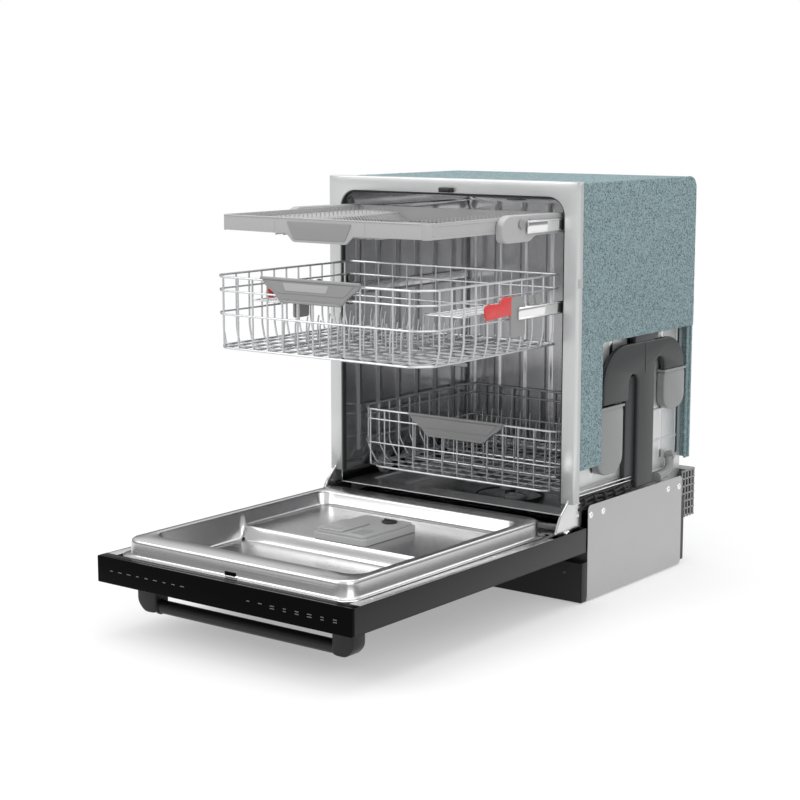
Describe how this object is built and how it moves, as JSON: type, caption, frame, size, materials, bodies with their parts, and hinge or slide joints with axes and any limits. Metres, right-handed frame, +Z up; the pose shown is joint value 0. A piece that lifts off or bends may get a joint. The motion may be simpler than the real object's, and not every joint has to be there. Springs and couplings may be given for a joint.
{
  "type": "built in dishwasher",
  "caption": "Built-in dishwasher with its drop-down door lying open, an upper wire rack and a shallow cutlery rack drawn out, and its side insulation, duct and base uncovered",
  "frame": {"origin": "on the floor, under the middle of the object's box", "axes": "+X to the right seen from in front, +Y into the machine, +Z up; the open door lies towards -Y"},
  "size_m": [0.598, 1.177, 0.817],
  "materials": {
    "steel": "polished stainless steel",
    "galvanised": "coated sheet steel, satin",
    "black_paint": "black satin paint",
    "gloss_black": "gloss black",
    "grey_plastic": "mid grey moulded plastic",
    "pale_plastic": "pale grey moulded plastic",
    "dark_plastic": "dark grey moulded plastic",
    "red_plastic": "red moulded plastic",
    "felt": "blue-green needled felt",
    "rubber": "black rubber",
    "wire_coat": "silver-grey coated wire",
    "iron": "bare casting"
  },
  "bodies": {
    "case": {"tub_shell": "steel", "tub_floor": "steel", "front_frame": "galvanised", "door_seal": "rubber", "insulation": "felt", "base_pan": "dark_plastic", "side_plate_left": "galvanised", "side_plate_right": "galvanised", "kick_plate": "black_paint", "rear_grille": "grey_plastic", "counterweight": "iron", "sump": "dark_plastic", "circulation_pump": "grey_plastic", "air_breaker": "dark_plastic", "hinge_plate_left": "galvanised", "hinge_plate_right": "galvanised", "latch_striker": "rubber", "upper_guide_left": "steel", "upper_guide_right": "steel", "third_guide_left": "steel", "third_guide_right": "steel"},
    "door": {"door_panel": "black_paint", "control_panel": "gloss_black", "door_liner": "steel", "door_handle": "black_paint", "dispenser_body": "pale_plastic"},
    "dispenser_lid": {"dispenser_lid": "pale_plastic"},
    "rinse_cap": {"rinse_cap": "dark_plastic"},
    "latch_pawl": {"latch_pawl": "galvanised"},
    "upper_runner": {"upper_runner": "grey_plastic"},
    "upper_rack": {"upper_basket": "wire_coat", "upper_handle": "grey_plastic", "upper_rail_left": "steel", "upper_rail_right": "steel"},
    "height_lever_left": {"height_lever_left": "red_plastic"},
    "height_lever_right": {"height_lever_right": "red_plastic"},
    "cup_shelf_left": {"cup_shelf_left": "grey_plastic"},
    "cup_shelf_right": {"cup_shelf_right": "grey_plastic"},
    "upper_spray_arm": {"upper_spray_arm": "grey_plastic"},
    "third_runner": {"third_runner": "grey_plastic"},
    "third_rack": {"third_rack_frame": "grey_plastic", "cutlery_tray": "pale_plastic", "third_rail_left": "steel", "third_rail_right": "steel"},
    "lower_rack": {"lower_basket": "wire_coat", "lower_handle": "grey_plastic"},
    "plate_tines": {"plate_tines": "wire_coat"},
    "lower_spray_arm": {"lower_spray_arm": "grey_plastic"},
    "top_spray_arm": {"top_spray_arm": "grey_plastic"},
    "filter": {"filter": "grey_plastic"},
    "foot_front_left": {"foot_front_left": "dark_plastic"},
    "foot_front_right": {"foot_front_right": "dark_plastic"},
    "foot_rear_left": {"foot_rear_left": "dark_plastic"},
    "foot_rear_right": {"foot_rear_right": "dark_plastic"},
    "wheel_left_front": {"wheel_left_front": "grey_plastic"},
    "wheel_left_middle": {"wheel_left_middle": "grey_plastic"},
    "wheel_left_rear": {"wheel_left_rear": "grey_plastic"},
    "wheel_right_front": {"wheel_right_front": "grey_plastic"},
    "wheel_right_middle": {"wheel_right_middle": "grey_plastic"},
    "wheel_right_rear": {"wheel_right_rear": "grey_plastic"}
  },
  "joints": [
    {"name": "door_hinge", "type": "hinge", "parent": "case", "child": "door", "pos_m": [0, 0.08, 0.1465], "axis": [-1, 0, 0], "range_deg": [0, 90]},
    {"name": "upper_runner_slide", "type": "slide", "parent": "case", "child": "upper_runner", "axis": [0, 1, 0], "range_m": [0, 0.4361]},
    {"name": "upper_rack_slide", "type": "slide", "parent": "upper_runner", "child": "upper_rack", "axis": [0, -1, 0], "range_m": [-0.436, 0]},
    {"name": "third_runner_slide", "type": "slide", "parent": "case", "child": "third_runner", "axis": [0, 1, 0], "range_m": [0, 0.4281]},
    {"name": "third_rack_slide", "type": "slide", "parent": "third_runner", "child": "third_rack", "axis": [0, -1, 0], "range_m": [-0.428, 0]},
    {"name": "lower_rack_slide", "type": "slide", "parent": "case", "child": "lower_rack", "axis": [0, 1, 0], "range_m": [-0.448, 0]},
    {"name": "dispenser_lid_slide", "type": "slide", "parent": "door", "child": "dispenser_lid", "axis": [0, 1, 0], "range_m": [0, 0.064]},
    {"name": "rinse_cap_turn", "type": "hinge", "parent": "door", "child": "rinse_cap", "pos_m": [0.02, -0.1285, 0.17], "axis": [0, 0, 1], "range_deg": [0, 90]},
    {"name": "latch_pawl_hinge", "type": "hinge", "parent": "door", "child": "latch_pawl", "pos_m": [0, -0.5685, 0.122], "axis": [1, 0, 0], "range_deg": [0, 25]},
    {"name": "upper_spray_arm_spin", "type": "hinge", "parent": "upper_rack", "child": "upper_spray_arm", "pos_m": [0, -0.1155, 0.482], "axis": [0, 0, 1], "continuous": true},
    {"name": "lower_spray_arm_spin", "type": "hinge", "parent": "case", "child": "lower_spray_arm", "pos_m": [0, 0.3145, 0.162], "axis": [0, 0, 1], "continuous": true},
    {"name": "top_spray_arm_spin", "type": "hinge", "parent": "case", "child": "top_spray_arm", "pos_m": [0, 0.3295, 0.768], "axis": [0, 0, 1], "continuous": true},
    {"name": "plate_tines_hinge", "type": "hinge", "parent": "lower_rack", "child": "plate_tines", "pos_m": [0, 0.3345, 0.222], "axis": [1, 0, 0], "range_deg": [0, 90]},
    {"name": "filter_turn", "type": "hinge", "parent": "case", "child": "filter", "pos_m": [0.033, 0.2885, 0.15], "axis": [0, 0, 1], "range_deg": [0, 90]},
    {"name": "height_lever_left_hinge", "type": "hinge", "parent": "upper_rack", "child": "height_lever_left", "pos_m": [-0.259, -0.0635, 0.592], "axis": [-1, 0, 0], "range_deg": [0, 12]},
    {"name": "cup_shelf_left_hinge", "type": "hinge", "parent": "upper_rack", "child": "cup_shelf_left", "pos_m": [-0.248, -0.0955, 0.588], "axis": [0, -1, 0], "range_deg": [0, 80]},
    {"name": "wheel_left_front_spin", "type": "hinge", "parent": "lower_rack", "child": "wheel_left_front", "pos_m": [-0.252, 0.2075, 0.2008], "axis": [1, 0, 0], "continuous": true},
    {"name": "wheel_left_middle_spin", "type": "hinge", "parent": "lower_rack", "child": "wheel_left_middle", "pos_m": [-0.252, 0.3045, 0.2008], "axis": [1, 0, 0], "continuous": true},
    {"name": "wheel_left_rear_spin", "type": "hinge", "parent": "lower_rack", "child": "wheel_left_rear", "pos_m": [-0.252, 0.4675, 0.2008], "axis": [1, 0, 0], "continuous": true},
    {"name": "height_lever_right_hinge", "type": "hinge", "parent": "upper_rack", "child": "height_lever_right", "pos_m": [0.259, -0.0635, 0.592], "axis": [-1, 0, 0], "range_deg": [0, 12]},
    {"name": "cup_shelf_right_hinge", "type": "hinge", "parent": "upper_rack", "child": "cup_shelf_right", "pos_m": [0.248, -0.0955, 0.588], "axis": [0, 1, 0], "range_deg": [0, 80]},
    {"name": "wheel_right_front_spin", "type": "hinge", "parent": "lower_rack", "child": "wheel_right_front", "pos_m": [0.252, 0.2075, 0.2008], "axis": [1, 0, 0], "continuous": true},
    {"name": "wheel_right_middle_spin", "type": "hinge", "parent": "lower_rack", "child": "wheel_right_middle", "pos_m": [0.252, 0.3045, 0.2008], "axis": [1, 0, 0], "continuous": true},
    {"name": "wheel_right_rear_spin", "type": "hinge", "parent": "lower_rack", "child": "wheel_right_rear", "pos_m": [0.252, 0.4675, 0.2008], "axis": [1, 0, 0], "continuous": true},
    {"name": "foot_front_left_screw", "type": "slide", "parent": "case", "child": "foot_front_left", "axis": [0, 0, -1], "range_m": [0, 0.03]},
    {"name": "foot_front_right_screw", "type": "slide", "parent": "case", "child": "foot_front_right", "axis": [0, 0, -1], "range_m": [0, 0.03]},
    {"name": "foot_rear_left_screw", "type": "slide", "parent": "case", "child": "foot_rear_left", "axis": [0, 0, -1], "range_m": [0, 0.03]},
    {"name": "foot_rear_right_screw", "type": "slide", "parent": "case", "child": "foot_rear_right", "axis": [0, 0, -1], "range_m": [0, 0.03]}
  ],
  "couplings": [
    {"joint": "upper_runner_slide", "follows": "door_hinge", "m_per_rad": 0.27757},
    {"joint": "third_runner_slide", "follows": "door_hinge", "m_per_rad": 0.27247}
  ]
}
